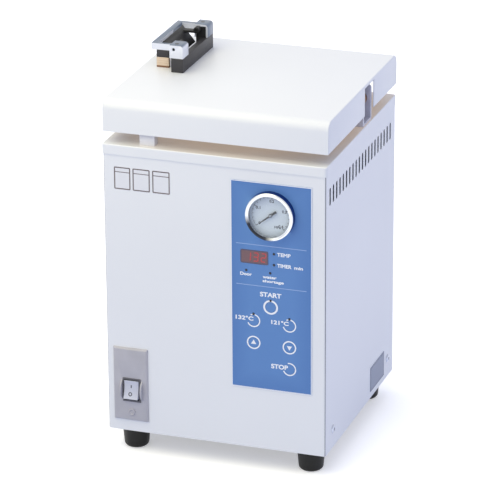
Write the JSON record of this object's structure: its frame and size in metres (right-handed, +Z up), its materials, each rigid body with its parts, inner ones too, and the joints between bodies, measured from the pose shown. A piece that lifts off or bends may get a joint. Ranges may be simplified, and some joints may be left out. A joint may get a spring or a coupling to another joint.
{
  "type": "autoclave",
  "caption": "Bench steam autoclave that loads from the top, with a hinged pressure lid, squeeze handle latch, pressure gauge, membrane control panel and guarded mains switch.",
  "frame": {"origin": "on the bench, below the middle of the case, at the underside of the four rubber feet", "axes": "+X to the right of the front, +Y to the back, +Z up"},
  "size_m": [0.3044, 0.324, 0.5247],
  "materials": {
    "white_paint": "smooth semi-gloss powder coat",
    "steel": "brushed",
    "chrome": "polished",
    "blue_film": "satin printed film",
    "red_window": "gloss",
    "lamp_lens": "gloss",
    "board_green": "lacquered circuit board",
    "black_plastic": "fine texture",
    "clear_glass": "clear",
    "dial_white": "printed matt",
    "grey_plastic": "satin",
    "rubber_black": "matt",
    "silicone": "matt",
    "jacket_wool": "felted insulation",
    "brass": "turned",
    "copper": "drawn copper tube",
    "silver_label": "satin foil",
    "sensor_white": "satin",
    "tan_laminate": "pressed laminate"
  },
  "bodies": {
    "case": {"case_shell": "white_paint", "rear_panel": "white_paint", "top_cover": "white_paint", "base_tray": "steel", "chamber_vessel": "steel", "chamber_flange": "steel", "vessel_stand": "steel", "water_grid": "steel", "heater_element": "steel", "steam_pipe": "steel", "hinge_bracket": "steel", "hinge_pin": "steel", "strike": "steel", "foot_screws": "steel", "case_screws": "steel", "gauge_bezel": "chrome", "control_film": "blue_film", "display_window": "red_window", "indicator_lamps": "lamp_lens", "control_board": "board_green", "gauge_case": "black_plastic", "mains_inlet": "black_plastic", "gauge_glass": "clear_glass", "gauge_dial": "dial_white", "switch_plate": "grey_plastic", "rocker_frame": "grey_plastic", "foot_front_left": "rubber_black", "foot_front_right": "rubber_black", "foot_back_left": "rubber_black", "foot_back_right": "rubber_black", "vessel_jacket": "jacket_wool", "steam_valve": "brass", "gauge_pipe": "copper", "rating_plate": "silver_label", "door_sensor": "sensor_white"},
    "lid": {"lid_cover": "white_paint", "lid_yoke": "steel", "cover_spacers": "steel", "pressure_lid": "steel", "centre_bolt": "steel", "lid_gasket": "silicone", "latch_base": "black_plastic", "handle": "chrome", "pivot_blocks": "black_plastic", "paddle_pins": "steel", "latch_shoe": "tan_laminate", "shoe_pad": "black_plastic"},
    "paddle": {"paddle": "black_plastic"},
    "hook": {"lock_hook": "steel"},
    "rocker": {"rocker": "grey_plastic"},
    "needle": {"gauge_needle": "black_plastic"},
    "key_start": {"key_start": "blue_film"},
    "key_high": {"key_high": "blue_film"},
    "key_low": {"key_low": "blue_film"},
    "key_up": {"key_up": "blue_film"},
    "key_down": {"key_down": "blue_film"},
    "key_stop": {"key_stop": "blue_film"}
  },
  "joints": [
    {"name": "lid_hinge", "type": "hinge", "parent": "case", "child": "lid", "pos_m": [0.135, 0.028, 0.459], "axis": [0, 1, 0], "range_deg": [0, 100]},
    {"name": "paddle_squeeze", "type": "hinge", "parent": "lid", "child": "paddle", "pos_m": [-0.1007, 0.04125, 0.5193], "axis": [0, 1, 0], "range_deg": [0, 18], "stiffness_Nm_per_rad": 0.08, "springref_deg": -20.05},
    {"name": "hook_swing", "type": "hinge", "parent": "lid", "child": "hook", "pos_m": [-0.13, 0.028, 0.459], "axis": [0, 1, 0], "range_deg": [0, 24]},
    {"name": "rocker_tilt", "type": "hinge", "parent": "case", "child": "rocker", "pos_m": [-0.115, -0.1505, 0.092], "axis": [1, 0, 0], "range_deg": [0, 20]},
    {"name": "needle_turn", "type": "hinge", "parent": "case", "child": "needle", "pos_m": [0.0772, -0.1545, 0.3583], "axis": [0, 1, 0], "range_deg": [0, 265], "stiffness_Nm_per_rad": 0.0004},
    {"name": "key_start_press", "type": "slide", "parent": "case", "child": "key_start", "axis": [0, 1, 0], "range_m": [0, 0.0005], "stiffness_N_per_m": 400},
    {"name": "key_high_press", "type": "slide", "parent": "case", "child": "key_high", "axis": [0, 1, 0], "range_m": [0, 0.0005], "stiffness_N_per_m": 400},
    {"name": "key_low_press", "type": "slide", "parent": "case", "child": "key_low", "axis": [0, 1, 0], "range_m": [0, 0.0005], "stiffness_N_per_m": 400},
    {"name": "key_up_press", "type": "slide", "parent": "case", "child": "key_up", "axis": [0, 1, 0], "range_m": [0, 0.0005], "stiffness_N_per_m": 400},
    {"name": "key_down_press", "type": "slide", "parent": "case", "child": "key_down", "axis": [0, 1, 0], "range_m": [0, 0.0005], "stiffness_N_per_m": 400},
    {"name": "key_stop_press", "type": "slide", "parent": "case", "child": "key_stop", "axis": [0, 1, 0], "range_m": [0, 0.0005], "stiffness_N_per_m": 400}
  ],
  "couplings": [
    {"joint": "hook_swing", "follows": "paddle_squeeze", "ratio": 1.3333}
  ]
}
